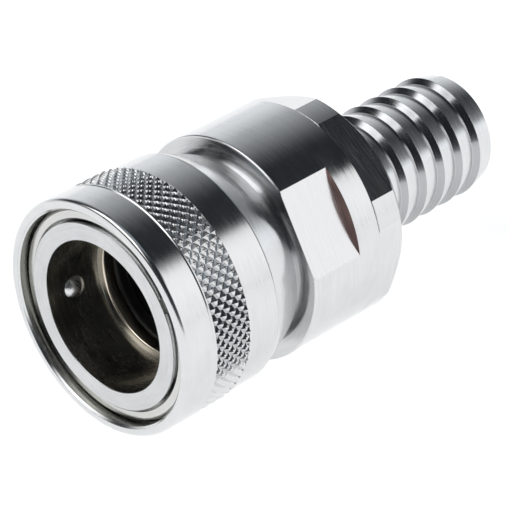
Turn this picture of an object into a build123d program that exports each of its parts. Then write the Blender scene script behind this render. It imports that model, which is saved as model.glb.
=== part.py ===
from build123d import *
import os
from math import cos, hypot, radians, sin

# Ball-lock quick-release coupling socket for a 19 mm hose, in millimetres.
# The common axis is X: the mouth is at X = 0, facing -X, and the hose tail ends at the +X end. +Z is up.
# Radii are written with a trailing _R, and stations along the axis with a trailing _X.

# Tube of the socket body
MOUTH_X = 1.0
TUBE_R = 15.8
ENTRY_R = 12.8
BORE_R = 12.4
ENTRY_END_X = 3.9
LEDGE_X = 11.5
THROAT_R = 11.0

# Rear part of the socket body, with its two spanner flats
BODY_R = 19.5
BODY_FRONT_X = 28.2
BODY_REAR_X = 43.5
FLAT_ACROSS = 36.0
FLAT_END_X = 38.5
FLAT_TURN = 149.0

# Locking balls
BALL_COUNT = 3
BALL_R = 2.38
BALL_X = 6.5
BALL_CENTRE_R = 13.95
BALL_LIFT = 0.95
BALL_GAP = 0.05
FIRST_BALL_TURN = 348.0

# Knurled sleeve, its screwed-in collar and its travel
SLEEVE_R = 20.0
SLEEVE_REAR_R = 19.7
MOUTH_RECESS_R = 18.15
SLEEVE_LIP_R = 16.75
SLEEVE_LIP_X = 2.65
POCKET_R = 17.5
POCKET_X = 3.5
KNURL_ROOT_R = 19.45
KNURL_X = (6.2, 13.5)
SLEEVE_END_X = 19.7
COLLAR_END_X = 26.84
COLLAR_END_R = 16.84
SLEEVE_TRAVEL = 1.25
RUNNING_GAP = 0.06
GUIDE_R = TUBE_R + RUNNING_GAP
CHAMBER_R = 17.4
CHAMBER_X = 12.2
SPIGOT_R = 18.3
SPIGOT_X = 17.2

# Rings on the tube
RING_GROOVE_R = 15.1
RETAINING_RING_X = (1.6, 2.6)
RETAINING_RING_R = 17.7
SPRING_STOP_X = (20.8, 21.9)
SPRING_STOP_R = 17.1
RING_OPENING = 2.6

# Seals in the throat of the socket
SEAL_GROOVE_X = (13.8, 17.4)
SEAL_GROOVE_R = 13.3
SEAL_R = 10.9
BACKUP_WIDTH = 1.0

# Shut-off valve
SEAT_R = 9.0
SEAT_X = 18.6
SEAT_CONE_X = 19.8
VALVE_CHAMBER_R = 13.0
VALVE_CHAMBER_X = 22.6
POPPET_HEAD_R = 11.0
POPPET_HEAD_X = (21.9, 23.6)
STEM_R = 3.0
STEM_END_X = 38.5
NOSE_X = 15.2
NOSE_R = 7.5
SEAL_FRONT_X = 20.3
BOSS_R = 5.0
STUD_R = 4.0
STUD_X = 17.0
GUIDE_X = (33.0, 35.0)
CLIP_GROOVE_R = 13.9
CLIP_X = (35.0, 36.2)

# Hose tail
THREAD_R = 15.0
THREAD_FRONT_X = 37.0
TAIL_FRONT_X = 37.3
TAIL_RING_X = (41.2, 43.0)
TAIL_RING_R = 13.4
HEX_ACROSS = 36.0
HEX_TURN = 128.0
HEX_CHAMFER_X = 48.4
HEX_END_X = 50.8
HEX_CROWN = 0.03
TAIL_BORE_R = 8.0
BARB_ROOT_R = 10.0
BARB_CREST_R = 10.82
BARB_COUNT = 6
BARB_PITCH = 4.5
FIRST_CREST_X = 55.1
BARB_RISE = 1.0
TAIL_END_X = 81.4


def radial_plane(x, distance, turn):
    """Plane that faces outward from the X axis, at an angle turned from +Y towards +Z."""
    outward = (0, cos(radians(turn)), sin(radians(turn)))
    origin = (x, distance * outward[1], distance * outward[2])
    return Plane(origin=origin, x_dir=(1, 0, 0), z_dir=outward)


def ball_turns():
    return [FIRST_BALL_TURN + 360.0 / BALL_COUNT * i for i in range(BALL_COUNT)]


def save(part, name):
    part.label = name
    export_step(part, f"parts/{name}.step")


def make_socket_body():
    seal_front, seal_rear = SEAL_GROOVE_X
    clip_front, clip_rear = CLIP_X
    with BuildPart() as socket_body:
        with BuildSketch(Plane.XY):
            with BuildLine():
                Polyline(
                    (MOUTH_X, ENTRY_R + 0.2),
                    (MOUTH_X, TUBE_R - 0.15),
                    (MOUTH_X + 0.15, TUBE_R),
                    (BODY_FRONT_X, TUBE_R),
                    (BODY_FRONT_X, BODY_R),
                    (BODY_REAR_X - 0.4, BODY_R),
                    (BODY_REAR_X, BODY_R - 0.4),
                    (BODY_REAR_X, THREAD_R),
                    (THREAD_FRONT_X, THREAD_R),
                    (THREAD_FRONT_X, VALVE_CHAMBER_R),
                    (clip_rear, VALVE_CHAMBER_R),
                    (clip_rear, CLIP_GROOVE_R),
                    (clip_front, CLIP_GROOVE_R),
                    (clip_front, VALVE_CHAMBER_R),
                    (VALVE_CHAMBER_X, VALVE_CHAMBER_R),
                    (VALVE_CHAMBER_X, SEAT_R + VALVE_CHAMBER_X - SEAT_CONE_X),
                    (SEAT_CONE_X, SEAT_R),
                    (SEAT_X, SEAT_R),
                    (SEAT_X, THROAT_R),
                    (seal_rear, THROAT_R),
                    (seal_rear, SEAL_GROOVE_R),
                    (seal_front, SEAL_GROOVE_R),
                    (seal_front, THROAT_R),
                    (LEDGE_X + 0.3, THROAT_R),
                    (LEDGE_X, THROAT_R + 0.3),
                    (LEDGE_X, BORE_R),
                    (ENTRY_END_X + 0.4, BORE_R),
                    (ENTRY_END_X, ENTRY_R),
                    (MOUTH_X + 0.2, ENTRY_R),
                    close=True,
                )
            make_face()
            front_corner = vertices().group_by(Axis.Y)[-1].sort_by(Axis.X)[0]
            fillet(front_corner, radius=0.35)
        revolve(axis=Axis.X)
        # Two grooves for the rings that hold the sleeve and its spring
        for front, rear in (RETAINING_RING_X, SPRING_STOP_X):
            with BuildSketch(Plane.XY):
                with BuildLine():
                    Polyline(
                        (front, RING_GROOVE_R),
                        (front, TUBE_R + 1),
                        (rear, TUBE_R + 1),
                        (rear, RING_GROOVE_R),
                        close=True,
                    )
                make_face()
            revolve(axis=Axis.X, mode=Mode.SUBTRACT)
        # Ball holes, each closed to a rounded seat so that the ball can't fall into the bore
        for turn in ball_turns():
            hole = radial_plane(BALL_X, BALL_CENTRE_R, turn)
            with BuildSketch(hole):
                Circle(BALL_R + BALL_GAP)
            extrude(amount=BALL_R + 2, mode=Mode.SUBTRACT)
            with Locations(hole.origin):
                Sphere(BALL_R + BALL_GAP, mode=Mode.SUBTRACT)
        # Spanner flats, milled from the front face of the body to a shoulder
        flat_length = FLAT_END_X - BODY_FRONT_X
        for turn in (FLAT_TURN, FLAT_TURN + 180):
            with BuildSketch(radial_plane(BODY_FRONT_X + flat_length / 2, FLAT_ACROSS / 2, turn)):
                Rectangle(flat_length, 2 * BODY_R)
            extrude(amount=5, mode=Mode.SUBTRACT)
    save(socket_body.part, "socket_body")


def make_knurled_sleeve():
    # The ramp is parallel to the balls' path as the sleeve sees it, one ball radius and a gap away.
    path = hypot(SLEEVE_TRAVEL, BALL_LIFT)
    slope = BALL_LIFT / SLEEVE_TRAVEL
    touch_x = BALL_X + (BALL_R + BALL_GAP) * BALL_LIFT / path
    touch_r = BALL_CENTRE_R + (BALL_R + BALL_GAP) * SLEEVE_TRAVEL / path
    ramp_front_x = touch_x - (POCKET_R - touch_r) / slope
    ramp_rear_x = touch_x + (touch_r - GUIDE_R) / slope
    knurl_front, knurl_rear = KNURL_X
    with BuildPart() as knurled_sleeve:
        with BuildSketch(Plane.XY):
            with BuildLine():
                Polyline(
                    (0, SLEEVE_R),
                    (knurl_front - 0.5, SLEEVE_R),
                    (knurl_front - 0.35, SLEEVE_R - 0.15),
                    (knurl_front - 0.2, SLEEVE_R),
                    (knurl_front, SLEEVE_R),
                    (knurl_front, KNURL_ROOT_R),
                    (knurl_rear, KNURL_ROOT_R),
                    (knurl_rear, SLEEVE_REAR_R),
                    (SLEEVE_END_X, SLEEVE_REAR_R),
                    (SLEEVE_END_X, SPIGOT_R),
                    (SPIGOT_X, SPIGOT_R),
                    (SPIGOT_X, CHAMBER_R),
                    (CHAMBER_X, CHAMBER_R),
                    (CHAMBER_X, GUIDE_R),
                    (ramp_rear_x, GUIDE_R),
                    (ramp_front_x, POCKET_R),
                    (POCKET_X, POCKET_R),
                    (POCKET_X, SLEEVE_LIP_R),
                    (SLEEVE_LIP_X, SLEEVE_LIP_R),
                    (SLEEVE_LIP_X, MOUTH_RECESS_R),
                    (0, MOUTH_RECESS_R),
                    close=True,
                )
            make_face()
            front_corners = vertices().sort_by(Axis.X)[:2].sort_by(Axis.Y)
            chamfer(front_corners[0], length=0.35)
            fillet(front_corners[1], radius=0.75)
        revolve(axis=Axis.X)
    save(knurled_sleeve.part, "knurled_sleeve")


def make_sleeve_collar():
    shoulder_x = SPRING_STOP_X[1] + 0.7
    wiper_front, wiper_rear = 24.4, 25.4
    with BuildPart() as sleeve_collar:
        with BuildSketch(Plane.XY):
            with BuildLine():
                Polyline(
                    (SPIGOT_X, CHAMBER_R),
                    (SPIGOT_X, SPIGOT_R),
                    (SLEEVE_END_X, SPIGOT_R),
                    (SLEEVE_END_X, SLEEVE_REAR_R),
                    (COLLAR_END_X - 0.35, COLLAR_END_R + 0.14),
                    (COLLAR_END_X, COLLAR_END_R - 0.2),
                    (COLLAR_END_X, GUIDE_R),
                    (shoulder_x, GUIDE_R),
                    (shoulder_x, CHAMBER_R),
                    close=True,
                )
            make_face()
            with BuildLine():
                Polyline(
                    (wiper_front, TUBE_R - 1),
                    (wiper_front, TUBE_R + 0.85),
                    (wiper_rear, TUBE_R + 0.85),
                    (wiper_rear, TUBE_R - 1),
                    close=True,
                )
            make_face(mode=Mode.SUBTRACT)
        revolve(axis=Axis.X)
    save(sleeve_collar.part, "sleeve_collar")

    with BuildPart() as sleeve_wiper:
        with BuildSketch(Plane.XY):
            with BuildLine():
                Polyline(
                    (wiper_front + 0.02, TUBE_R + 0.05),
                    (wiper_front + 0.02, TUBE_R + 0.82),
                    (wiper_rear - 0.02, TUBE_R + 0.82),
                    (wiper_rear - 0.02, TUBE_R + 0.05),
                    close=True,
                )
            make_face()
            fillet(vertices(), radius=0.2)
        revolve(axis=Axis.X)
    save(sleeve_wiper.part, "sleeve_wiper")


def make_rings():
    """Open spring rings in the tube's two grooves."""
    front, rear = RETAINING_RING_X
    with BuildPart() as retaining_ring:
        with BuildSketch(Plane.XY):
            with BuildLine():
                Polyline(
                    (front, RING_GROOVE_R),
                    (front, RETAINING_RING_R),
                    (rear, RETAINING_RING_R),
                    (rear, RING_GROOVE_R),
                    close=True,
                )
            make_face()
            fillet(vertices().group_by(Axis.Y)[-1].sort_by(Axis.X)[0], radius=0.7)
        revolve(axis=Axis.X)
        with BuildSketch(radial_plane(front, 0, FLAT_TURN)):
            Rectangle(6, RING_OPENING)
        extrude(amount=SLEEVE_R, mode=Mode.SUBTRACT)
    save(retaining_ring.part, "retaining_ring")

    front, rear = SPRING_STOP_X
    with BuildPart() as spring_stop_ring:
        with BuildSketch(Plane.XY):
            with BuildLine():
                Polyline(
                    (front, RING_GROOVE_R),
                    (front, SPRING_STOP_R),
                    (rear, SPRING_STOP_R),
                    (rear, RING_GROOVE_R),
                    close=True,
                )
            make_face()
        revolve(axis=Axis.X)
        with BuildSketch(radial_plane(front, 0, FLAT_TURN)):
            Rectangle(6, RING_OPENING)
        extrude(amount=SLEEVE_R, mode=Mode.SUBTRACT)
    save(spring_stop_ring.part, "spring_stop_ring")


def make_spring(name, front_x, rear_x, mean_r, wire_r, turns):
    """Open helical spring between two faces, with a small gap at each end."""
    end_gap = 0.05 + wire_r
    start_x = front_x + end_gap
    height = rear_x - front_x - 2 * end_gap
    with BuildPart() as spring:
        with BuildLine() as coil:
            Helix(height / turns, height, mean_r, center=(start_x, 0, 0), direction=(1, 0, 0))
        with BuildSketch(Plane(origin=coil.line @ 0, z_dir=coil.line % 0)):
            Circle(wire_r)
        sweep(path=coil.line, is_frenet=True)
    save(spring.part, name)


def make_locking_balls():
    for number, turn in enumerate(ball_turns(), start=1):
        with BuildPart() as locking_ball:
            with Locations(radial_plane(BALL_X, BALL_CENTRE_R, turn)):
                Sphere(BALL_R)
        save(locking_ball.part, f"locking_ball_{number}")


def make_throat_seals():
    front, rear = SEAL_GROOVE_X
    with BuildPart() as bore_seal:
        with BuildSketch(Plane.XY):
            with BuildLine():
                Polyline(
                    (front, SEAL_GROOVE_R),
                    (front, SEAL_R),
                    (rear - BACKUP_WIDTH, SEAL_R),
                    (rear - BACKUP_WIDTH, SEAL_GROOVE_R),
                    close=True,
                )
            make_face()
            fillet(vertices().group_by(Axis.Y)[0], radius=0.8)
        revolve(axis=Axis.X)
    save(bore_seal.part, "bore_seal")

    with BuildPart() as bore_backup_ring:
        with BuildSketch(Plane.XY):
            with BuildLine():
                Polyline(
                    (rear - BACKUP_WIDTH, SEAL_GROOVE_R),
                    (rear - BACKUP_WIDTH, THROAT_R),
                    (rear, THROAT_R),
                    (rear, SEAL_GROOVE_R),
                    close=True,
                )
            make_face()
        revolve(axis=Axis.X)
    save(bore_backup_ring.part, "bore_backup_ring")


def make_valve():
    head_front, head_rear = POPPET_HEAD_X
    with BuildPart() as valve_poppet:
        with BuildSketch(Plane.XY):
            with BuildLine():
                Polyline(
                    (STUD_X, 0),
                    (STUD_X, STUD_R),
                    (SEAL_FRONT_X, STUD_R),
                    (SEAL_FRONT_X, BOSS_R),
                    (head_front, BOSS_R),
                    (head_front, POPPET_HEAD_R),
                    (head_rear, POPPET_HEAD_R),
                    (head_rear, BOSS_R),
                    (head_rear + 1.5, BOSS_R),
                    (head_rear + 1.5, STEM_R),
                    (STEM_END_X, STEM_R),
                    (STEM_END_X, 0),
                    close=True,
                )
            make_face()
        revolve(axis=Axis.X)
    save(valve_poppet.part, "valve_poppet")

    # The sealing edge lies along the 45 degree seat, a hair inside it.
    seat_gap = 0.06
    with BuildPart() as poppet_seal:
        with BuildSketch(Plane.XY):
            with BuildLine():
                Polyline(
                    (SEAL_FRONT_X, BOSS_R),
                    (SEAL_FRONT_X, SEAT_R + SEAL_FRONT_X - SEAT_CONE_X - seat_gap),
                    (head_front, SEAT_R + head_front - SEAT_CONE_X - seat_gap),
                    (head_front, BOSS_R),
                    close=True,
                )
            make_face()
        revolve(axis=Axis.X)
    save(poppet_seal.part, "poppet_seal")

    with BuildPart() as poppet_nose:
        with BuildSketch(Plane.XY):
            with BuildLine():
                Polyline(
                    (NOSE_X, 0),
                    (NOSE_X, NOSE_R),
                    (SEAL_FRONT_X, NOSE_R),
                    (SEAL_FRONT_X, STUD_R),
                    (STUD_X, STUD_R),
                    (STUD_X, 0),
                    close=True,
                )
            make_face()
            chamfer(vertices().sort_by(Axis.X).group_by(Axis.X)[0].sort_by(Axis.Y)[-1], length=0.8)
        revolve(axis=Axis.X)
        with BuildSketch(Plane(origin=(NOSE_X, 0, 0), x_dir=(0, 1, 0), z_dir=(-1, 0, 0))):
            Rectangle(9, 1.4)
        extrude(amount=-0.9, mode=Mode.SUBTRACT)
    save(poppet_nose.part, "poppet_nose")


def make_valve_guide():
    front, rear = GUIDE_X
    face = Plane(origin=(front, 0, 0), x_dir=(0, 1, 0), z_dir=(1, 0, 0))
    arm_width = 3.0
    with BuildPart() as valve_guide:
        with BuildSketch(face):
            Circle(VALVE_CHAMBER_R)
            Circle(VALVE_CHAMBER_R - 1.6, mode=Mode.SUBTRACT)
            with PolarLocations(0, 3):
                Rectangle(VALVE_CHAMBER_R - 0.8, arm_width, align=(Align.MIN, Align.CENTER))
        extrude(amount=rear - front)
        with BuildSketch(face):
            Circle(BOSS_R)
        extrude(amount=rear - front + 1)
        with BuildSketch(face):
            Circle(STEM_R + RUNNING_GAP)
        extrude(amount=rear - front + 1, mode=Mode.SUBTRACT)
    save(valve_guide.part, "valve_guide")

    front, rear = CLIP_X
    with BuildPart() as guide_circlip:
        with BuildSketch(Plane(origin=(front, 0, 0), x_dir=(0, 1, 0), z_dir=(1, 0, 0))):
            Circle(CLIP_GROOVE_R)
            Circle(CLIP_GROOVE_R - 1.9, mode=Mode.SUBTRACT)
            Rectangle(CLIP_GROOVE_R + 1, 4, align=(Align.MIN, Align.CENTER), mode=Mode.SUBTRACT)
        extrude(amount=rear - front)
    save(guide_circlip.part, "guide_circlip")


def make_hose_tail():
    ring_front, ring_rear = TAIL_RING_X
    hex_end_r = BODY_R - HEX_END_X + HEX_CHAMFER_X
    crown_x = (HEX_CHAMFER_X + HEX_END_X) / 2 + HEX_CROWN
    crown_r = (BODY_R + hex_end_r) / 2 + HEX_CROWN
    barb_outline = []
    for i in range(BARB_COUNT):
        crest_x = FIRST_CREST_X + BARB_PITCH * i
        barb_outline += [(crest_x - BARB_RISE, BARB_ROOT_R), (crest_x, BARB_CREST_R)]
    with BuildPart() as hose_tail:
        with BuildSketch(Plane.XY):
            with BuildLine():
                Polyline(
                    (HEX_END_X, hex_end_r),
                    (HEX_END_X, BARB_ROOT_R),
                    *barb_outline,
                    (TAIL_END_X, BARB_ROOT_R),
                    (TAIL_END_X, TAIL_BORE_R + 0.4),
                    (TAIL_END_X - 0.4, TAIL_BORE_R),
                    (BODY_REAR_X - 0.5, TAIL_BORE_R),
                    (TAIL_FRONT_X, THREAD_R - 2.4),
                    (TAIL_FRONT_X, THREAD_R - 0.5),
                    (TAIL_FRONT_X + 0.5, THREAD_R),
                    (ring_front, THREAD_R),
                    (ring_front, TAIL_RING_R),
                    (ring_rear, TAIL_RING_R),
                    (ring_rear, THREAD_R),
                    (BODY_REAR_X, THREAD_R),
                    (BODY_REAR_X, BODY_R),
                    (HEX_CHAMFER_X, BODY_R),
                )
                ThreePointArc((HEX_CHAMFER_X, BODY_R), (crown_x, crown_r), (HEX_END_X, hex_end_r))
            make_face()
        revolve(axis=Axis.X)
        hex_length = HEX_END_X - BODY_REAR_X
        for side in range(6):
            face = radial_plane(BODY_REAR_X + hex_length / 2, HEX_ACROSS / 2, HEX_TURN + 60 * side)
            with BuildSketch(face):
                Rectangle(hex_length, 2 * BODY_R)
            extrude(amount=5, mode=Mode.SUBTRACT)
    save(hose_tail.part, "hose_tail")

    ring_r = (THREAD_R - TAIL_RING_R) / 2
    with BuildPart() as tail_o_ring:
        with BuildSketch(Plane.XY):
            with Locations(((ring_front + ring_rear) / 2, TAIL_RING_R + ring_r)):
                Circle(ring_r)
        revolve(axis=Axis.X)
    save(tail_o_ring.part, "tail_o_ring")


os.makedirs("parts", exist_ok=True)
make_socket_body()
make_knurled_sleeve()
make_sleeve_collar()
make_rings()
make_spring("sleeve_spring", CHAMBER_X, SPRING_STOP_X[0], mean_r=16.55, wire_r=0.55, turns=4)
make_spring("valve_spring", POPPET_HEAD_X[1], GUIDE_X[0], mean_r=7.0, wire_r=0.5, turns=4)
make_locking_balls()
make_throat_seals()
make_valve()
make_valve_guide()
make_hose_tail()
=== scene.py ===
from math import acos, atan2, ceil, cos, pi, radians, sin, tan

import bmesh
import bpy
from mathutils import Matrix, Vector


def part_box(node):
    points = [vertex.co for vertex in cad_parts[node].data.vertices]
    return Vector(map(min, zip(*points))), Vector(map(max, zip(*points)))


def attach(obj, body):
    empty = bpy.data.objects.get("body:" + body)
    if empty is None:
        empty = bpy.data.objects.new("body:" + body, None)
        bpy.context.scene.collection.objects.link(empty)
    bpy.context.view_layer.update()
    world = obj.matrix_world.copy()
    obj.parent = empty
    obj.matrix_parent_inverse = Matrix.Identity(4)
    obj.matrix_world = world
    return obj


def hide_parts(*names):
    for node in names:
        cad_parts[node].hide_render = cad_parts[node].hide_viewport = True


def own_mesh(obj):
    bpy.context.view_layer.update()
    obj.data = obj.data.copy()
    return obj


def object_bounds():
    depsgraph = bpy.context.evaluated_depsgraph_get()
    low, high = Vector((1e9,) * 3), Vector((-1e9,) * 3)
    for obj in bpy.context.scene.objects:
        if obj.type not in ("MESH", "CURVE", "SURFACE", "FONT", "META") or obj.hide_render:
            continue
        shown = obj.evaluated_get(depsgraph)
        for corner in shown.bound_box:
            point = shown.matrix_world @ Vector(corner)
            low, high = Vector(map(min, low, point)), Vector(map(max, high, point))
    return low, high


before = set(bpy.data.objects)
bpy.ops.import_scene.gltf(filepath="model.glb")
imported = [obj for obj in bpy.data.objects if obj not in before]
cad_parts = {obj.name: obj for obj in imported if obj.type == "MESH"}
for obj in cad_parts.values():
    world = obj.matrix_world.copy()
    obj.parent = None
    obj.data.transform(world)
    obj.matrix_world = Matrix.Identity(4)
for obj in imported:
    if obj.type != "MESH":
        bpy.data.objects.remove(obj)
cad_low, cad_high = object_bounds()

# Lengths below are in millimetres in the shared frame: X along the axis from the mouth, radii from it.
# Radii are written with a trailing _R, and stations along the axis with a trailing _X.
MM = 0.001
WELD = 1e-7

# Edges sharper than this stay crisp; the arcs of small roundings turn by less at each step.
CRISP_ANGLE = radians(17)
# The same for round pieces made of few steps
ROUND_ANGLE = radians(50)
ROUNDING_STEPS = 7
NORMAL_WEIGHT = 80

# A face this near to a station lies on it; one further away than the second length is clear of it.
ON_STATION = 0.01
CLEAR = 0.1
# Faces of a flat have at least one corner this far below the round surface.
BELOW_ROUND = 0.02

# Sleeve
SLEEVE_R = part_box("knurled_sleeve")[1].z / MM
SLEEVE_END_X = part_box("knurled_sleeve")[1].x / MM
SLEEVE_CORNER = 0.8
SLEEVE_REAR_R = 19.7
RIM_INNER_R = 18.45
RIM_CHAMFER_X = 0.35
MOUTH_RECESS_R = 18.15
LIP_X = 2.65
LIP_R = 16.75
POCKET_X = 3.5
POCKET_R = 17.5
RAMP_X = (5.93, 8.09)
GUIDE_R = 15.86
CHAMBER_X = 12.2
CHAMBER_R = 17.4
SPIGOT_X = 17.2
SPIGOT_R = 18.3
JOINT_CHAMFER = 0.1
JOINT_STEP = 0.02
COLLAR_COLUMNS = 264
COLLAR_END_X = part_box("sleeve_collar")[1].x / MM
COLLAR_END_R = 16.84
COLLAR_SHOULDER_X = 22.6
WIPER_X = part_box("sleeve_wiper")[0].x / MM
WIPER_GROOVE_LENGTH = 1.0
WIPER_GROOVE_DEPTH = 0.8

# Knurl: diamonds left standing between crossed grooves, behind a shallow mark
KNURL_COUNT = 66
KNURL_PITCH_X = 1.862
KNURL_STEPS = 8
KNURL_FRONT_X = 6.2
KNURL_REAR_X = 13.5
KNURL_ROOT_R = 19.47
KNURL_FLAT_TOP = 0.8
# The sides of the mark fall at 45 degrees.
MARK_X = 5.85
MARK_DEPTH = 0.15

# Socket body: bore, seal groove, seat, valve chamber and thread
MOUTH_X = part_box("socket_body")[0].x / MM
TUBE_R = 15.8
ENTRY_R = 12.8
LEDGE_X = 11.5
BORE_R = 12.4
THROAT_R = 11.0
SEAL_GROOVE_X = (13.8, 17.4)
SEAL_GROOVE_R = 13.3
SEAT_X = 18.6
SEAT_R = 9.0
SEAT_CONE_X = 19.8
VALVE_CHAMBER_X = 22.6
VALVE_CHAMBER_R = 13.0
CLIP_X = (35.0, 36.2)
CLIP_GROOVE_R = 13.9
THREAD_FRONT_X = 37.0
THREAD_R = 15.0

# Socket body: outside
BODY_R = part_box("socket_body")[1].z / MM
BODY_FRONT_X = 28.2
BODY_REAR_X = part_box("socket_body")[1].x / MM
BODY_COLUMNS = 300
BODY_CORNER = 0.35
BODY_CHAMFER = 0.2
FLAT_DISTANCE = 18.0
FLAT_END_X = 38.5
FLAT_TURNS = (149.0, 329.0)
# No flat reaches further round than this from its middle.
FLAT_REACH = radians(40)
NO_LIMIT = 100.0

# Where the socket body's finishes change
MOUTH_FACE_END_X = MOUTH_X + 0.25
DARK_BORE_R = ENTRY_R + 0.05
DARK_BORE_END_X = 20.0
LEDGE_OUTER_R = 12.0

# Rings on the tube
RING_GROOVE_R = 15.1
RETAINING_RING_X = (1.6, 2.6)
RETAINING_RING_R = 17.9
RING_FACE_R = 16.3
RING_STEP_X = 2.1
RING_STEP_R = 15.85
RING_OPENING = 2.6
RING_MIDDLE_R = 16.5
SPRING_STOP_X = (20.8, 21.9)

# Balls and their holes
BALL_R = 2.38
HOLE_R = 2.43
HOLE_LENGTH = 3.0

# Springs
SPRING_TURNS = 4
STEPS_PER_TURN = 48
WIRE_SIDES = 16

# Hose tail
TAIL_FRONT_X = 37.3
TAIL_FRONT_R = 12.6
THREAD_CHAMFER = 0.5
TAIL_RING_X = (41.2, 43.0)
TAIL_RING_R = 13.4
TAIL_CONE_X = 43.0
TAIL_BORE_R = 8.0
TAIL_END_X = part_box("hose_tail")[1].x / MM
TAIL_COLUMNS = 288
HEX_TURNS = [128.0 + 60 * side for side in range(6)]
HEX_CHAMFER_X = 48.4
HEX_END_X = 50.8
HEX_END_R = BODY_R - HEX_END_X + HEX_CHAMFER_X
HEX_SEAM = 0.02
BARB_ROOT_R = 10.0
BARB_CREST_R = 10.82
BARB_COUNT = 6
BARB_PITCH = 4.5
BARB_RISE = 1.0
FIRST_CREST_X = 55.1
# The steep faces of the barbs look this much towards the mouth; they get a darker chrome as painted shade.
STEEP = -0.45

# Marks in the metal: how many per metre along and round the axis, and how deep in metres
FINE_MARKS = (2600.0, 220.0)
FINE_DEPTH = 0.00002
BROAD_MARKS = (900.0, 60.0)
BROAD_DEPTH = 0.00003
CLOUDS = 160.0
MILLING_MARKS = (4200.0, 130.0, 130.0)
MILLING_DEPTH = 0.000004
MOULD_GRAIN = 2600.0
MOULD_DEPTH = 0.00001
DUST = 350.0
# Most of a noise texture's values lie in this range.
NOISE_RANGE = (0.3, 0.7)

# Camera
AIM = (33.9, -0.67, -3.4)
CAMERA_AZIMUTH = -45.463
CAMERA_ELEVATION = 32.85
CAMERA_DISTANCE = 437.2
CAMERA_CLIP = (0.01, 50.0)
LENS = 191.25
SENSOR = 36.0

# Floor and the overhead light that only dull surfaces see, with sizes in metres
FLOOR_HALF = 4.0
FLOOR_GLOW = 0.7
FLOOR_LIGHT = 0.2
LAMP_SIZE = 1.6
LAMP_HEIGHT = 1.5

# Light at (elevation, level) stops, in the parts of the studio that the metal mirrors
BEHIND_RIGHT = (
    (0, 0.95), (12, 0.92), (20, 0.78), (32, 0.5), (45, 0.35), (52, 0.2), (60, 0.05), (70, 0.0),
)
BEHIND_LEFT = ((0, 0.95), (7, 0.7), (13, 0.1), (20, 0.0))
RIGHT_BOX = ((0, 1.05), (8, 1.15), (25, 1.25), (37, 1.25), (44, 0.3), (50, 0.0))
RIGHT_LOW = ((0, 1.25), (5, 1.15), (11, 0.22), (20, 0.08), (28, 0.0))
UPPER_LEFT_BOX = ((0, 0.0), (24, 0.0), (31, 1.2), (40, 2.6), (59, 2.6), (66, 0.2), (72, 0.0))
NEAR_ROOM = ((0, 0.16), (6, 0.06), (14, 0.01), (35, 0.0))
CEILING = ((0, 0.05), (30, 0.03), (61, 0.03), (72, 0.3), (90, 0.4))

# Colours of that light: a little cooler where it is dim
WHITE = (1.0, 1.0, 1.0)
COOL = (0.97, 1.0, 1.03)
COLD = (0.88, 1.0, 1.12)

# Middle azimuth of each part, right and left edges as (inner, outer) angles from it, stops and colour
PATCHES = (
    (60, (8, 62), (14, 36), BEHIND_RIGHT, COOL),
    (110, (14, 36), (30, 50), BEHIND_LEFT, WHITE),
    (-60, (18, 40), (22, 27), RIGHT_BOX, WHITE),
    (-15, (15, 25), (40, 55), RIGHT_LOW, COOL),
    (156, (32, 38), (30, 38), UPPER_LEFT_BOX, WHITE),
    (-135, (40, 60), (50, 70), NEAR_ROOM, COOL),
)


# ---------------------------------------------------------------- mesh tools

def finish_mesh(name, mesh, crisp_angle=CRISP_ANGLE):
    """Welds the mesh, turns its faces outward and returns it as an object with crisp and smooth edges."""
    work = bmesh.new()
    work.from_mesh(mesh)
    bmesh.ops.remove_doubles(work, verts=work.verts, dist=WELD)
    bmesh.ops.dissolve_degenerate(work, edges=work.edges, dist=WELD)
    bmesh.ops.recalc_face_normals(work, faces=work.faces)
    work.to_mesh(mesh)
    work.free()
    mesh.shade_smooth()
    mesh.set_sharp_from_angle(angle=crisp_angle)
    piece = bpy.data.objects.new(name, mesh)
    bpy.context.collection.objects.link(piece)
    return piece


def weigh_normals(piece):
    """Keeps long faces true beside their small roundings."""
    weighted = piece.modifiers.new("weighted_normals", "WEIGHTED_NORMAL")
    weighted.keep_sharp = True
    weighted.weight = NORMAL_WEIGHT


def rounded(corners):
    """Closed outline through (x, r, radius) corners, each corner turned into an arc of its radius."""
    outline = []
    for i, (x, r, radius) in enumerate(corners):
        corner = Vector((x, r))
        if not radius:
            outline.append(corner)
            continue
        back = (Vector(corners[i - 1][:2]) - corner).normalized()
        ahead = (Vector(corners[(i + 1) % len(corners)][:2]) - corner).normalized()
        half_angle = acos(max(-1.0, min(1.0, back.dot(ahead)))) / 2
        centre = corner + (back + ahead).normalized() * radius / sin(half_angle)
        start = corner + back * radius / tan(half_angle) - centre
        end = corner + ahead * radius / tan(half_angle) - centre
        for step in range(ROUNDING_STEPS + 1):
            outline.append(centre + start.slerp(end, step / ROUNDING_STEPS).normalized() * radius)
    return [(point[0], point[1]) for point in outline]


def turned_mesh(name, outline_at, turns, whole=True):
    """Surface swept round the X axis. outline_at(turn) gives equally many (x, r) points at every turn."""
    outlines = [outline_at(turn) for turn in turns]
    count = len(outlines[0])
    vertices = []
    for turn, outline in zip(turns, outlines):
        for x, r in outline:
            vertices.append((x * MM, r * cos(turn) * MM, r * sin(turn) * MM))
    faces = []
    for i in range(len(turns) if whole else len(turns) - 1):
        here, there = i * count, (i + 1) % len(turns) * count
        for k in range(count):
            after = (k + 1) % count
            faces.append((here + k, there + k, there + after, here + after))
    if not whole:
        faces.append(tuple(range(count)))
        faces.append(tuple(range((len(turns) - 1) * count, len(turns) * count)))
    mesh = bpy.data.meshes.new(name)
    mesh.from_pydata(vertices, [], faces)
    return mesh


def full_turn(columns):
    return [2 * pi * i / columns for i in range(columns)]


def turned(name, corners, columns=240):
    outline = rounded(corners)
    piece = finish_mesh(name, turned_mesh(name, lambda turn: outline, full_turn(columns)))
    weigh_normals(piece)
    return piece


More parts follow.
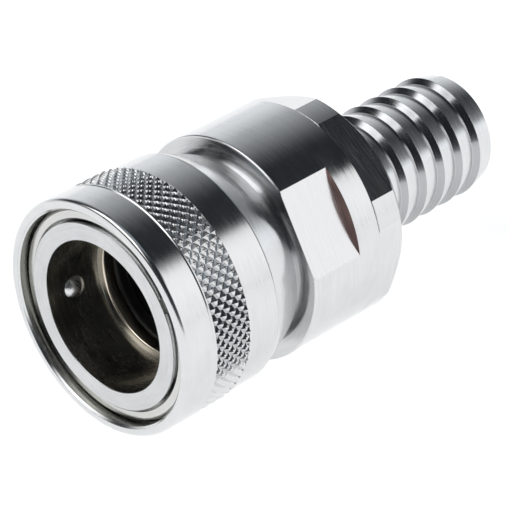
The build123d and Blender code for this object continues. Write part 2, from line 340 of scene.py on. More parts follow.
def open_ring(name, corners, opening_turn, opening, radius, columns=240):
    """Turned ring with a gap of the given width at one side."""
    outline = rounded(corners)
    half_gap = opening / 2 / radius
    first = radians(opening_turn) + half_gap
    span = 2 * pi - 2 * half_gap
    turns = [first + span * i / columns for i in range(columns + 1)]
    piece = finish_mesh(name, turned_mesh(name, lambda turn: outline, turns, whole=False))
    weigh_normals(piece)
    return piece


def coil(name, first_x, last_x, mean_r, wire_r, turns):
    """Round wire wound round the X axis."""
    rings = ceil(turns * STEPS_PER_TURN)
    length = last_x - first_x
    slope = atan2(length, 2 * pi * mean_r * turns)
    vertices, faces = [], []
    for i in range(rings + 1):
        share = i / rings
        turn = 2 * pi * turns * share
        outward = Vector((0, cos(turn), sin(turn)))
        across = Vector((cos(slope), sin(slope) * sin(turn), -sin(slope) * cos(turn)))
        centre = Vector((first_x + length * share, 0, 0)) + outward * mean_r
        for side in range(WIRE_SIDES):
            angle = 2 * pi * side / WIRE_SIDES
            vertices.append((centre + (outward * cos(angle) + across * sin(angle)) * wire_r) * MM)
    for i in range(rings):
        here, there = i * WIRE_SIDES, (i + 1) * WIRE_SIDES
        for side in range(WIRE_SIDES):
            after = (side + 1) % WIRE_SIDES
            faces.append((here + side, here + after, there + after, there + side))
    faces.append(tuple(range(WIRE_SIDES)))
    faces.append(tuple(rings * WIRE_SIDES + side for side in range(WIRE_SIDES)))
    mesh = bpy.data.meshes.new(name)
    mesh.from_pydata(vertices, [], faces)
    return finish_mesh(name, mesh, ROUND_ANGLE)


def corner_radii(piece, face):
    """Distances of a face's corners from the axis."""
    return [piece.data.vertices[v].co.yz.length / MM for v in face.vertices]


def stand_for(piece, node, body, slot, *materials):
    """The piece takes a CAD node's place on its body, in these materials if it has none yet."""
    for material in materials:
        piece.data.materials.append(material)
    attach(piece, body)
    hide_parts(node)


# ---------------------------------------------------------------- materials

# A Mix node set to colour has its colours at these sockets.
MIX_A, MIX_B, MIX_RESULT = 6, 7, 2

def new_material(name, color, roughness, metallic=1.0):
    material = bpy.data.materials.new(name)
    material.use_nodes = True
    shader = material.node_tree.nodes["Principled BSDF"]
    shader.inputs["Base Color"].default_value = (*color, 1)
    shader.inputs["Roughness"].default_value = roughness
    shader.inputs["Metallic"].default_value = metallic
    return material, shader


def add(material, kind, **values):
    """New node, with its settings, or its sockets' values by name."""
    node = material.node_tree.nodes.new(kind)
    for key, value in values.items():
        if hasattr(node, key):
            setattr(node, key, value)
        else:
            node.inputs[key.replace("_", " ")].default_value = value
    return node


def join(material, output, target):
    material.node_tree.links.new(output, target)


def lathe_coordinates(material, along, around):
    """Coordinates for marks that run round the axis: fine along X and the radius, long round the turn."""
    place = add(material, "ShaderNodeTexCoord")
    split = add(material, "ShaderNodeSeparateXYZ")
    join(material, place.outputs["Object"], split.inputs[0])
    flat = add(material, "ShaderNodeCombineXYZ")
    join(material, split.outputs["Y"], flat.inputs["Y"])
    join(material, split.outputs["Z"], flat.inputs["Z"])
    radius = add(material, "ShaderNodeVectorMath", operation="LENGTH")
    join(material, flat.outputs[0], radius.inputs[0])
    total = add(material, "ShaderNodeMath", operation="ADD")
    join(material, split.outputs["X"], total.inputs[0])
    join(material, radius.outputs["Value"], total.inputs[1])
    scaled = add(material, "ShaderNodeMath", operation="MULTIPLY")
    scaled.inputs[1].default_value = along
    join(material, total.outputs[0], scaled.inputs[0])
    sideways = add(material, "ShaderNodeVectorMath", operation="SCALE", Scale=around)
    join(material, flat.outputs[0], sideways.inputs[0])
    final = add(material, "ShaderNodeVectorMath", operation="ADD")
    lined = add(material, "ShaderNodeCombineXYZ")
    join(material, scaled.outputs[0], lined.inputs["X"])
    join(material, lined.outputs[0], final.inputs[0])
    join(material, sideways.outputs[0], final.inputs[1])
    return final.outputs[0]


def spread(material, source, low, high):
    """A 0 to 1 value spread between two limits."""
    ranged = add(material, "ShaderNodeMapRange")
    ranged.inputs["From Min"].default_value = NOISE_RANGE[0]
    ranged.inputs["From Max"].default_value = NOISE_RANGE[1]
    ranged.inputs["To Min"].default_value = low
    ranged.inputs["To Max"].default_value = high
    join(material, source, ranged.inputs["Value"])
    return ranged.outputs["Result"]


def turned_metal(name, color, roughness, ripple, grain=0.4, tone=0.07, tint=(1, 1, 1)):
    """Bright metal with marks left by the lathe under its plating, faint smears and soft cloudiness."""
    material, shader = new_material(name, color, roughness)
    lines = add(material, "ShaderNodeTexNoise", Scale=1.0, Detail=3.0, Roughness=0.7)
    join(material, lathe_coordinates(material, *FINE_MARKS), lines.inputs["Vector"])
    waves = add(material, "ShaderNodeTexNoise", Scale=1.0, Detail=2.0, Roughness=0.5)
    join(material, lathe_coordinates(material, *BROAD_MARKS), waves.inputs["Vector"])
    place = add(material, "ShaderNodeTexCoord")
    clouds = add(material, "ShaderNodeTexNoise", Scale=CLOUDS, Detail=4.0, Roughness=0.6)
    join(material, place.outputs["Object"], clouds.inputs["Vector"])
    blended = add(material, "ShaderNodeMath", operation="MULTIPLY_ADD")
    blended.inputs[1].default_value = 0.5
    join(material, clouds.outputs["Fac"], blended.inputs[0])
    half = add(material, "ShaderNodeMath", operation="MULTIPLY")
    half.inputs[1].default_value = 0.5
    join(material, lines.outputs["Fac"], half.inputs[0])
    join(material, half.outputs[0], blended.inputs[2])
    uneven = spread(material, blended.outputs[0], roughness * 0.55, roughness * 1.5)
    join(material, uneven, shader.inputs["Roughness"])
    shade = add(material, "ShaderNodeMix", data_type="RGBA")
    shade.inputs[MIX_A].default_value = (*[c * (1 - tone) * t for c, t in zip(color, tint)], 1)
    shade.inputs[MIX_B].default_value = (*[min(1, c * (1 + tone)) for c in color], 1)
    join(material, spread(material, blended.outputs[0], 0, 1), shade.inputs["Factor"])
    join(material, shade.outputs[MIX_RESULT], shader.inputs["Base Color"])
    fine = add(material, "ShaderNodeBump", Strength=grain, Distance=FINE_DEPTH)
    join(material, lines.outputs["Fac"], fine.inputs["Height"])
    broad = add(material, "ShaderNodeBump", Strength=ripple, Distance=BROAD_DEPTH)
    join(material, waves.outputs["Fac"], broad.inputs["Height"])
    join(material, fine.outputs["Normal"], broad.inputs["Normal"])
    join(material, broad.outputs["Normal"], shader.inputs["Normal"])
    return material


def milled_metal(name, color, roughness, ripple):
    """Flat faces cut across the axis: straight fine marks and a little haze."""
    material, shader = new_material(name, color, roughness)
    place = add(material, "ShaderNodeTexCoord")
    stretched = add(material, "ShaderNodeMapping")
    stretched.inputs["Scale"].default_value = MILLING_MARKS
    join(material, place.outputs["Object"], stretched.inputs["Vector"])
    lines = add(material, "ShaderNodeTexNoise", Scale=1.0, Detail=3.0, Roughness=0.65)
    join(material, stretched.outputs["Vector"], lines.inputs["Vector"])
    uneven = spread(material, lines.outputs["Fac"], roughness * 0.6, roughness * 1.5)
    join(material, uneven, shader.inputs["Roughness"])
    shade = add(material, "ShaderNodeMix", data_type="RGBA")
    shade.inputs[MIX_A].default_value = (*[c * 0.95 for c in color], 1)
    shade.inputs[MIX_B].default_value = (*[min(1, c * 1.05) for c in color], 1)
    join(material, spread(material, lines.outputs["Fac"], 0, 1), shade.inputs["Factor"])
    join(material, shade.outputs[MIX_RESULT], shader.inputs["Base Color"])
    bump = add(material, "ShaderNodeBump", Strength=ripple, Distance=MILLING_DEPTH)
    join(material, lines.outputs["Fac"], bump.inputs["Height"])
    join(material, bump.outputs["Normal"], shader.inputs["Normal"])
    return material


def moulded(name, color, roughness):
    """Rubber or plastic with a fine moulded grain and dusty patches."""
    material, shader = new_material(name, color, roughness, metallic=0.0)
    place = add(material, "ShaderNodeTexCoord")
    grain = add(material, "ShaderNodeTexNoise", Scale=MOULD_GRAIN, Detail=3.0)
    join(material, place.outputs["Object"], grain.inputs["Vector"])
    dust = add(material, "ShaderNodeTexNoise", Scale=DUST, Detail=4.0)
    join(material, place.outputs["Object"], dust.inputs["Vector"])
    uneven = spread(material, dust.outputs["Fac"], roughness * 0.8, roughness * 1.2)
    join(material, uneven, shader.inputs["Roughness"])
    shade = add(material, "ShaderNodeMix", data_type="RGBA")
    shade.inputs[MIX_A].default_value = (*[c * 0.8 for c in color], 1)
    shade.inputs[MIX_B].default_value = (*[c * 1.3 for c in color], 1)
    join(material, spread(material, dust.outputs["Fac"], 0, 1), shade.inputs["Factor"])
    join(material, shade.outputs[MIX_RESULT], shader.inputs["Base Color"])
    bump = add(material, "ShaderNodeBump", Strength=0.3, Distance=MOULD_DEPTH)
    join(material, grain.outputs["Fac"], bump.inputs["Height"])
    join(material, bump.outputs["Normal"], shader.inputs["Normal"])
    return material


CHROME = (0.66, 0.665, 0.67)
chrome_sleeve = turned_metal("chrome_sleeve", CHROME, 0.16, ripple=0.5)
chrome_body = turned_metal("chrome_body", CHROME, 0.16, ripple=0.5)
chrome_face = turned_metal("chrome_mouth_face", (0.585, 0.59, 0.595), 0.16, ripple=0.4, tone=0.12)
# The body's front face, recessed behind the sleeve, is rougher and more marked, and it gets a darker chrome
# as painted shade.
recessed_face_painted_shade = turned_metal(
    "recessed_face_dull_chrome_and_painted_shade", (0.6, 0.605, 0.61), 0.2, ripple=0.8, grain=0.7,
)
chrome_tail = turned_metal("chrome_tail", CHROME, 0.17, ripple=0.4, grain=0.3)
# Painted shade: the steep faces of the barbs get a darker chrome than the rest of the tail.
barb_face_painted_shade = turned_metal(
    "barb_face_chrome_painted_shade", (0.42, 0.425, 0.435), 0.17, ripple=0.15, grain=0.15,
)
chrome_flat = milled_metal("chrome_milled_flat", (0.70, 0.70, 0.71), 0.2, ripple=0.8)
chrome_hexagon = milled_metal("chrome_hexagon", (0.68, 0.68, 0.685), 0.12, ripple=0.12)
# Painted shade: the face where the flats end gets a darker, reddish-brown metal.
shoulder_painted_shade = milled_metal("shoulder_corner_painted_shade", (0.50, 0.34, 0.31), 0.45, ripple=0.3)
# Darker, slightly yellow metal inside the bore and inside the sleeve.
bore_metal = turned_metal(
    "dark_bore_metal", (0.32, 0.32, 0.305), 0.24, ripple=0.2, grain=0.12, tint=(1, 0.99, 0.94),
)
ledge_metal = turned_metal("worn_ledge", (0.72, 0.65, 0.55), 0.18, ripple=0.4)
ring_metal = turned_metal("ring_steel", (0.60, 0.60, 0.59), 0.18, ripple=0.3)
spring_metal = turned_metal("spring_wire", (0.50, 0.50, 0.50), 0.25, ripple=0.2)
ball_metal = turned_metal("polished_ball", (0.72, 0.72, 0.73), 0.28, ripple=0.1, grain=0.05)
valve_metal = turned_metal("turned_brass", (0.72, 0.55, 0.28), 0.2, ripple=0.4)
rubber = moulded("black_rubber", (0.012, 0.012, 0.013), 0.5)
plastic = moulded("dark_plastic", (0.016, 0.016, 0.017), 0.4)


# ---------------------------------------------------------------- sleeve

def knurl_height(x, turn):
    """0 in the grooves and 1 at the points of the diamonds."""
    along = (x - KNURL_FRONT_X) / KNURL_PITCH_X
    round_axis = turn * KNURL_COUNT / (2 * pi)
    heights = []
    for phase in (along + round_axis, along - round_axis):
        heights.append(1 - abs(2 * (phase % 1) - 1))
    return min(*heights, KNURL_FLAT_TOP) / KNURL_FLAT_TOP


def sleeve_outline(turn):
    # The last corner only closes the outline, and is dropped again.
    front = rounded([
        (0, RIM_INNER_R, 0.1), (0, SLEEVE_R, SLEEVE_CORNER),
        (MARK_X - MARK_DEPTH, SLEEVE_R, 0), (MARK_X, SLEEVE_R - MARK_DEPTH, 0),
        (MARK_X + MARK_DEPTH, SLEEVE_R, 0), (KNURL_FRONT_X, SLEEVE_R, 0), (8, 17, 0),
    ])[:-1]
    step = KNURL_PITCH_X / KNURL_STEPS
    band = []
    for i in range(int((KNURL_REAR_X - KNURL_FRONT_X) / step) + 1):
        x = KNURL_FRONT_X + step * i
        band.append((x, KNURL_ROOT_R + (SLEEVE_R - KNURL_ROOT_R) * knurl_height(x, turn)))
    rear = rounded([
        (KNURL_REAR_X, KNURL_ROOT_R, 0), (KNURL_REAR_X, SLEEVE_REAR_R, 0.06),
        (SLEEVE_END_X - JOINT_CHAMFER, SLEEVE_REAR_R, 0),
        (SLEEVE_END_X, SLEEVE_REAR_R - JOINT_CHAMFER, 0),
        (SLEEVE_END_X, SPIGOT_R, 0), (SPIGOT_X, SPIGOT_R, 0), (SPIGOT_X, CHAMBER_R, 0),
        (CHAMBER_X, CHAMBER_R, 0), (CHAMBER_X, GUIDE_R, 0.1),
        (RAMP_X[1], GUIDE_R, 0.1), (RAMP_X[0], POCKET_R, 0.1),
        (POCKET_X, POCKET_R, 0), (POCKET_X, LIP_R, 0.1), (LIP_X, LIP_R, 0.1),
        (LIP_X, MOUTH_RECESS_R, 0.15), (RIM_CHAMFER_X, MOUTH_RECESS_R, 0),
    ])
    return front + band + rear


def split_knurl(mesh):
    """Splits each square of the knurl along its lower diagonal, so that the grooves stay straight."""
    low, high = KNURL_FRONT_X * MM - WELD, KNURL_REAR_X * MM + WELD
    root = (KNURL_ROOT_R - 0.05) * MM
    work = bmesh.new()
    work.from_mesh(mesh)
    for face in list(work.faces):
        if len(face.verts) != 4:
            continue
        stations = [v.co.x for v in face.verts]
        radii = [v.co.yz.length for v in face.verts]
        if min(stations) < low or max(stations) > high or min(radii) < root:
            continue
        if max(stations) - min(stations) < WELD:
            continue
        a, b, c, d = face.verts
        pair = (a, c) if radii[0] + radii[2] < radii[1] + radii[3] else (b, d)
        bmesh.utils.face_split(face, *pair)
    work.to_mesh(mesh)
    work.free()


def make_sleeve():
    mesh = turned_mesh("sleeve_shell", sleeve_outline, full_turn(KNURL_COUNT * KNURL_STEPS))
    split_knurl(mesh)
    shell = finish_mesh("sleeve_shell", mesh)
    weigh_normals(shell)
    stand_for(shell, "knurled_sleeve", "sleeve", "sleeve_chrome", chrome_sleeve, bore_metal)
    for face in shell.data.polygons:
        if max(corner_radii(shell, face)) < SPIGOT_R - CLEAR:
            face.material_index = 1

    groove_end_x, groove_r = WIPER_X + WIPER_GROOVE_LENGTH, GUIDE_R + WIPER_GROOVE_DEPTH
    collar = turned("sleeve_rear_cone", [
        (SPIGOT_X, CHAMBER_R, 0), (SPIGOT_X, SPIGOT_R, 0), (SLEEVE_END_X, SPIGOT_R, 0),
        (SLEEVE_END_X, SLEEVE_REAR_R - JOINT_CHAMFER, 0),
        (SLEEVE_END_X + JOINT_CHAMFER / 2, SLEEVE_REAR_R - JOINT_STEP, 0),
        (COLLAR_END_X, COLLAR_END_R, 0.2), (COLLAR_END_X, GUIDE_R, 0.1),
        (groove_end_x, GUIDE_R, 0), (groove_end_x, groove_r, 0),
        (WIPER_X, groove_r, 0), (WIPER_X, GUIDE_R, 0),
        (COLLAR_SHOULDER_X, GUIDE_R, 0), (COLLAR_SHOULDER_X, CHAMBER_R, 0),
    ], COLLAR_COLUMNS)
    stand_for(collar, "sleeve_collar", "sleeve", "sleeve_chrome", chrome_sleeve)


# ---------------------------------------------------------------- socket body

def flat_limit(turn, middles):
    """Distance from the axis to the nearest flat, at a turn, or a large number away from the flats."""
    limit = NO_LIMIT
    for middle in middles:
        away = (turn - radians(middle) + pi) % (2 * pi) - pi
        if abs(away) < FLAT_REACH:
            limit = min(limit, FLAT_DISTANCE / cos(away))
    return limit


def turns_with_flats(middles, radii, columns):
    """Evenly spaced turns, and exact ones where the flats meet the given radii."""
    stops = []
    for middle in middles:
        for radius in radii:
            half = acos(FLAT_DISTANCE / radius)
            stops += [radians(middle) - half, radians(middle) + half]
        stops.append(radians(middle))
    stops = sorted(stop % (2 * pi) for stop in stops)
    turns = set()
    for i, stop in enumerate(stops):
        following = stops[(i + 1) % len(stops)]
        gap = (following - stop) % (2 * pi)
        pieces = max(1, round(gap / (2 * pi) * columns))
        turns.update(stop + gap * k / pieces for k in range(pieces))
    return sorted(turn % (2 * pi) for turn in turns)


def body_outline(turn):
    limit = flat_limit(turn, FLAT_TURNS)
    front = rounded([
        (BODY_FRONT_X, TUBE_R + 1, 0), (BODY_FRONT_X, BODY_R, BODY_CORNER), (FLAT_END_X, BODY_R, 0),
    ])
    front = [(x, min(r, limit)) for x, r in front[1:]]
    bore = rounded([
        (BODY_REAR_X, THREAD_R, 0), (THREAD_FRONT_X, THREAD_R, 0), (THREAD_FRONT_X, VALVE_CHAMBER_R, 0),
        (CLIP_X[1], VALVE_CHAMBER_R, 0), (CLIP_X[1], CLIP_GROOVE_R, 0),
        (CLIP_X[0], CLIP_GROOVE_R, 0), (CLIP_X[0], VALVE_CHAMBER_R, 0),
        (VALVE_CHAMBER_X, VALVE_CHAMBER_R, 0), (VALVE_CHAMBER_X, SEAT_R + VALVE_CHAMBER_X - SEAT_CONE_X, 0),
        (SEAT_CONE_X, SEAT_R, 0), (SEAT_X, SEAT_R, 0), (SEAT_X, THROAT_R, 0),
        (SEAL_GROOVE_X[1], THROAT_R, 0), (SEAL_GROOVE_X[1], SEAL_GROOVE_R, 0),
        (SEAL_GROOVE_X[0], SEAL_GROOVE_R, 0), (SEAL_GROOVE_X[0], THROAT_R, 0.15),
        (LEDGE_X, THROAT_R, 0.4), (LEDGE_X, BORE_R, 0.12),
        (MOUTH_X, ENTRY_R, 0.2), (MOUTH_X, TUBE_R, 0.15),
        (RETAINING_RING_X[0], TUBE_R, 0), (RETAINING_RING_X[0], RING_GROOVE_R, 0),
        (RETAINING_RING_X[1], RING_GROOVE_R, 0), (RETAINING_RING_X[1], TUBE_R, 0),
        (SPRING_STOP_X[0], TUBE_R, 0), (SPRING_STOP_X[0], RING_GROOVE_R, 0),
        (SPRING_STOP_X[1], RING_GROOVE_R, 0), (SPRING_STOP_X[1], TUBE_R, 0),
        (BODY_FRONT_X, TUBE_R, 0.12),
    ])
    rear = [
        (FLAT_END_X, BODY_R), (BODY_REAR_X - BODY_CHAMFER, BODY_R), (BODY_REAR_X, BODY_R - BODY_CHAMFER),
    ]
    return bore + front + rear


def body_finish(face, radii):
    """Material of one face of the socket body, whose corners lie at the given radii.

    The hidden faces inside the body, level with the flats, share the flats' material.
    """
    x, r = face.center.x / MM, face.center.yz.length / MM
    on_flat = max(radii) < BODY_R + ON_STATION and min(radii) < BODY_R - BELOW_ROUND
    if BODY_FRONT_X + CLEAR < x < FLAT_END_X - CLEAR and on_flat:
        return chrome_flat
    # The face where a flat ends gets the darker metal: painted shade.
    if abs(x - FLAT_END_X) < ON_STATION and r > FLAT_DISTANCE - CLEAR:
        return shoulder_painted_shade
    if LEDGE_X - CLEAR < x < SEAL_GROOVE_X[0] + CLEAR and r < LEDGE_OUTER_R:
        return ledge_metal
    if MOUTH_FACE_END_X < x < DARK_BORE_END_X and r < DARK_BORE_R:
        return bore_metal
    if x < MOUTH_FACE_END_X:
        return chrome_face
    # The recessed front face gets the darker chrome: painted shade.
    if abs(x - BODY_FRONT_X) < ON_STATION:
        return recessed_face_painted_shade
    return chrome_body


def ball_places():
    places = []
    for number in (1, 2, 3):
        low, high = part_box(f"locking_ball_{number}")
        places.append((low + high) / 2)
    return places


def cut_ball_hole(shell, number, place):
    """Cuts a radial hole, closed to a rounded seat at the bore."""
    mesh = bpy.data.meshes.new("hole_cutter")
    work = bmesh.new()
    bmesh.ops.create_uvsphere(work, u_segments=48, v_segments=24, radius=HOLE_R * MM)
    for vertex in work.verts:
        if vertex.co.z > 0:
            vertex.co.z += HOLE_LENGTH * MM
    work.to_mesh(mesh)
    work.free()
    cutter = bpy.data.objects.new(f"hole_cutter_{number}", mesh)
    bpy.context.collection.objects.link(cutter)
    outward = Vector((0, place.y, place.z)).normalized()
    cutter.matrix_world = outward.to_track_quat("Z", "Y").to_matrix().to_4x4()
    cutter.matrix_world.translation = place
    hole = shell.modifiers.new("ball_hole", "BOOLEAN")
    hole.operation = "DIFFERENCE"
    hole.solver = "EXACT"
    hole.object = cutter
    bpy.context.view_layer.update()
    evaluated = shell.evaluated_get(bpy.context.evaluated_depsgraph_get())
    cut = bpy.data.meshes.new_from_object(evaluated)
    shell.modifiers.clear()
    shell.data = cut
    bpy.data.objects.remove(cutter)


def make_body():
    turns = turns_with_flats(FLAT_TURNS, (BODY_R, BODY_R - BODY_CORNER), BODY_COLUMNS)
    shell = finish_mesh("socket_shell", turned_mesh("socket_shell", body_outline, turns))
    finishes = [
        chrome_body, chrome_flat, shoulder_painted_shade, bore_metal, ledge_metal, chrome_face, recessed_face_painted_shade,
    ]
    for material in finishes:
        shell.data.materials.append(material)
    for face in shell.data.polygons:
        face.material_index = finishes.index(body_finish(face, corner_radii(shell, face)))
    for number, place in enumerate(ball_places(), start=1):
        cut_ball_hole(shell, number, place)
    shell.data.shade_smooth()
    shell.data.set_sharp_from_angle(angle=CRISP_ANGLE)
    weigh_normals(shell)
    stand_for(shell, "socket_body", "body", "body_chrome")


# ---------------------------------------------------------------- hose tail

def tail_outline(turn):
    corner = min(BODY_R, flat_limit(turn, HEX_TURNS))
    barbs = []
    for i in range(BARB_COUNT):
        crest_x = FIRST_CREST_X + BARB_PITCH * i
        barbs += [(crest_x - BARB_RISE, BARB_ROOT_R, 0.12), (crest_x, BARB_CREST_R, 0.1)]
    front = [
        (BODY_REAR_X, THREAD_R), (BODY_REAR_X, corner), (HEX_CHAMFER_X + BODY_R - corner, corner),
        (HEX_END_X - HEX_SEAM, HEX_END_R + HEX_SEAM),
    ]
    rest = rounded([
        (HEX_END_X, HEX_END_R, 0), (HEX_END_X, BARB_ROOT_R, 0.3), *barbs,
        (TAIL_END_X, BARB_ROOT_R, 0.15), (TAIL_END_X, TAIL_BORE_R, 0.4), (TAIL_CONE_X, TAIL_BORE_R, 0),
        (TAIL_FRONT_X, TAIL_FRONT_R, 0), (TAIL_FRONT_X, THREAD_R - THREAD_CHAMFER, 0),
        (TAIL_FRONT_X + THREAD_CHAMFER, THREAD_R, 0),
        (TAIL_RING_X[0], THREAD_R, 0), (TAIL_RING_X[0], TAIL_RING_R, 0),
        (TAIL_RING_X[1], TAIL_RING_R, 0), (TAIL_RING_X[1], THREAD_R, 0),
    ])
    return front + rest


def tail_finish(face, radii):
    """Material of one face of the hose tail, whose corners lie at the given radii."""
    x = face.center.x / MM
    if FIRST_CREST_X - BARB_RISE - CLEAR < x < TAIL_END_X - 2:
        # Steep faces get the darker chrome, as painted shade.
        steep = face.normal.x < STEEP and min(radii) > BARB_ROOT_R - 1
        return barb_face_painted_shade if steep else chrome_tail
    level = abs(face.normal.x) < 0.1 and x > BODY_REAR_X + CLEAR
    on_flat = FLAT_DISTANCE - 0.5 < min(radii) < BODY_R - BELOW_ROUND and max(radii) < BODY_R + ON_STATION
    return chrome_hexagon if level and on_flat else chrome_tail


def make_tail():
    turns = turns_with_flats(HEX_TURNS, (BODY_R,), TAIL_COLUMNS)
    tail = finish_mesh("hose_tail_shell", turned_mesh("hose_tail_shell", tail_outline, turns))
    finishes = [chrome_tail, chrome_hexagon, barb_face_painted_shade]
    for material in finishes:
        tail.data.materials.append(material)
    for face in tail.data.polygons:
        face.material_index = finishes.index(tail_finish(face, corner_radii(tail, face)))
    weigh_normals(tail)
    stand_for(tail, "hose_tail", "body", "tail_chrome")


# ---------------------------------------------------------------- small pieces

def make_retaining_ring():
    front, rear = RETAINING_RING_X
    ring = open_ring("sleeve_retaining_ring", [
        (RING_STEP_X, RING_GROOVE_R, 0), (RING_STEP_X, RING_STEP_R, 0), (front, RING_FACE_R, 0.1),
        (front, RETAINING_RING_R, 0.6), (rear, RETAINING_RING_R, 0.1), (rear, RING_GROOVE_R, 0),
    ], FLAT_TURNS[0], RING_OPENING, RING_MIDDLE_R)
    stand_for(ring, "retaining_ring", "body", "ring_steel", ring_metal)


def make_balls():
    for number, place in enumerate(ball_places(), start=1):
        mesh = bpy.data.meshes.new(f"ball_{number}")
        work = bmesh.new()
        bmesh.ops.create_uvsphere(work, u_segments=96, v_segments=48, radius=BALL_R * MM)
        bmesh.ops.translate(work, verts=work.verts, vec=place)
        work.to_mesh(mesh)
        work.free()
        ball = finish_mesh(f"locking_ball_{number}_polished", mesh, ROUND_ANGLE)
        stand_for(ball, f"locking_ball_{number}", f"ball_{number}", "ball_steel", ball_metal)


def make_springs():
    """Springs coiled from round wire in the places of the CAD springs."""
    for node, name, mean_r, wire_r, joint in (
        ("sleeve_spring", "sleeve_return_coil", 16.55, 0.55, "sleeve_slide"),
        ("valve_spring", "valve_return_coil", 7.0, 0.5, "poppet_slide"),
    ):
        low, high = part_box(node)
        first_x, last_x = low.x / MM + wire_r, high.x / MM - wire_r
        wire = coil(name, first_x, last_x, mean_r, wire_r, SPRING_TURNS)
        stand_for(wire, node, "body", "spring_steel", spring_metal)
        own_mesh(wire)


def paint_cad_nodes():
    """The inner pieces keep their CAD shapes."""
    for material, nodes in (
        (ring_metal, ("spring_stop_ring", "guide_circlip")),
        (rubber, ("bore_seal", "poppet_seal", "tail_o_ring", "sleeve_wiper")),
        (valve_metal, ("valve_poppet", "valve_guide")),
        (plastic, ("poppet_nose", "bore_backup_ring")),
    ):
        for node in nodes:
            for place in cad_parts[node].material_slots:
                place.material = material


# ---------------------------------------------------------------- studio

def make_floor():
    mesh = bpy.data.meshes.new("studio_floor")
    corners = [
        (x * FLOOR_HALF, y * FLOOR_HALF, cad_low.z) for x, y in ((-1, -1), (1, -1), (1, 1), (-1, 1))
    ]
    mesh.from_pydata(corners, [], [(0, 1, 2, 3)])
    floor = bpy.data.objects.new("studio_floor", mesh)
    bpy.context.collection.objects.link(floor)
    material, shader = new_material("pale_floor", (0.86, 0.86, 0.86), 0.9, metallic=0.0)
    shader.inputs["Specular IOR Level"].default_value = 0.0
    shader.inputs["Emission Color"].default_value = (1, 1, 1, 1)
    shader.inputs["Emission Strength"].default_value = FLOOR_GLOW
    mesh.materials.append(material)


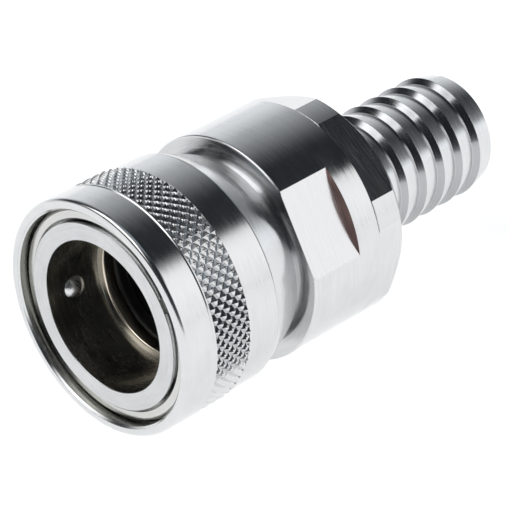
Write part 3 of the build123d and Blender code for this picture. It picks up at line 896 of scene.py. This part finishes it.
class Sky:
    """Light from every direction, built up from soft-edged patches placed by azimuth and elevation.

    Both are in degrees. Azimuth is turned from +X towards +Y.
    """

    def __init__(self, tree):
        self.tree = tree
        place = tree.nodes.new("ShaderNodeTexCoord")
        split = tree.nodes.new("ShaderNodeSeparateXYZ")
        tree.links.new(place.outputs["Generated"], split.inputs[0])
        self.x, self.y, z = split.outputs
        self.elevation = self.maths("ARCSINE", z)

    def maths(self, operation, first, second=None):
        node = self.tree.nodes.new("ShaderNodeMath")
        node.operation = operation
        for socket, value in zip(node.inputs, (first, second)):
            if isinstance(value, (int, float)):
                socket.default_value = value
            elif value is not None:
                self.tree.links.new(value, socket)
        return node.outputs[0]

    def ease(self, value, low, high):
        """Smooth step from 0 to 1 between low and high degrees, or from 1 to 0 if low is larger."""
        node = self.tree.nodes.new("ShaderNodeMapRange")
        node.interpolation_type = "SMOOTHSTEP"
        node.inputs["From Min"].default_value = radians(min(low, high))
        node.inputs["From Max"].default_value = radians(max(low, high))
        node.inputs["To Min"].default_value = 0.0 if low < high else 1.0
        node.inputs["To Max"].default_value = 1.0 if low < high else 0.0
        self.tree.links.new(value, node.inputs["Value"])
        return node.outputs[0]

    def sector(self, middle, right, left):
        """1 inside a range of azimuths; right and left are (inner, outer) angles from the middle."""
        ahead, aside = cos(radians(middle)), sin(radians(middle))
        y_across, x_across = self.maths("MULTIPLY", self.y, ahead), self.maths("MULTIPLY", self.x, aside)
        x_along, y_along = self.maths("MULTIPLY", self.x, ahead), self.maths("MULTIPLY", self.y, aside)
        across = self.maths("SUBTRACT", y_across, x_across)
        along = self.maths("ADD", x_along, y_along)
        away = self.maths("ARCTAN2", across, along)
        left_edge, right_edge = self.ease(away, left[1], left[0]), self.ease(away, -right[1], -right[0])
        return self.maths("MULTIPLY", left_edge, right_edge)

    def heights(self, stops, colour):
        """Light that changes with elevation, through (elevation, level) stops."""
        ramp = self.tree.nodes.new("ShaderNodeValToRGB")
        ramp.color_ramp.interpolation = "EASE"
        while len(ramp.color_ramp.elements) < len(stops):
            ramp.color_ramp.elements.new(0.5)
        for element, (elevation, level) in zip(ramp.color_ramp.elements, stops):
            element.position = elevation / 90
            element.color = (*[level * share for share in colour], 1)
        height = self.maths("DIVIDE", self.elevation, pi / 2)
        self.tree.links.new(height, ramp.inputs["Fac"])
        return ramp.outputs["Color"]

    def patch(self, middle, right, left, stops, colour):
        """Light in a sector only."""
        node = self.tree.nodes.new("ShaderNodeVectorMath")
        node.operation = "SCALE"
        self.tree.links.new(self.heights(stops, colour), node.inputs[0])
        self.tree.links.new(self.sector(middle, right, left), node.inputs["Scale"])
        return node.outputs[0]

    def total(self, parts):
        """Light of all the parts together."""
        result = parts[0]
        for part in parts[1:]:
            node = self.tree.nodes.new("ShaderNodeVectorMath")
            node.operation = "ADD"
            self.tree.links.new(result, node.inputs[0])
            self.tree.links.new(part, node.inputs[1])
            result = node.outputs[0]
        return result


def make_world():
    """A dark room with a pale backdrop behind the object and soft boxes round it, with blurred edges."""
    world = bpy.data.worlds.new("studio")
    bpy.context.scene.world = world
    world.use_nodes = True
    tree = world.node_tree
    sky = Sky(tree)
    light = sky.total([sky.heights(CEILING, COLD)] + [sky.patch(*patch) for patch in PATCHES])
    tree.links.new(light, tree.nodes["Background"].inputs["Color"])


def make_lamp():
    light = bpy.data.lights.new("overhead", "AREA")
    light.size = LAMP_SIZE
    light.energy = FLOOR_LIGHT * pi * light.size ** 2
    lamp = bpy.data.objects.new("overhead", light)
    bpy.context.collection.objects.link(lamp)
    lamp.location = (0, 0, LAMP_HEIGHT)
    lamp.visible_camera = False
    lamp.visible_glossy = False


def make_camera():
    azimuth, elevation = radians(CAMERA_AZIMUTH), radians(CAMERA_ELEVATION)
    back = Vector((sin(azimuth) * cos(elevation), -cos(azimuth) * cos(elevation), sin(elevation)))
    data = bpy.data.cameras.new("camera")
    data.sensor_width = SENSOR
    data.lens = LENS
    data.clip_start, data.clip_end = CAMERA_CLIP
    camera = bpy.data.objects.new("camera", data)
    bpy.context.collection.objects.link(camera)
    camera.rotation_mode = "QUATERNION"
    camera.location = (Vector(AIM) + back * CAMERA_DISTANCE) * MM
    camera.rotation_quaternion = (-back).to_track_quat("-Z", "Y")
    bpy.context.scene.camera = camera
    bpy.context.scene.view_settings.view_transform = "Standard"


make_sleeve()
make_body()
make_tail()
make_retaining_ring()
make_balls()
make_springs()
paint_cad_nodes()
make_floor()
make_world()
make_lamp()
make_camera()
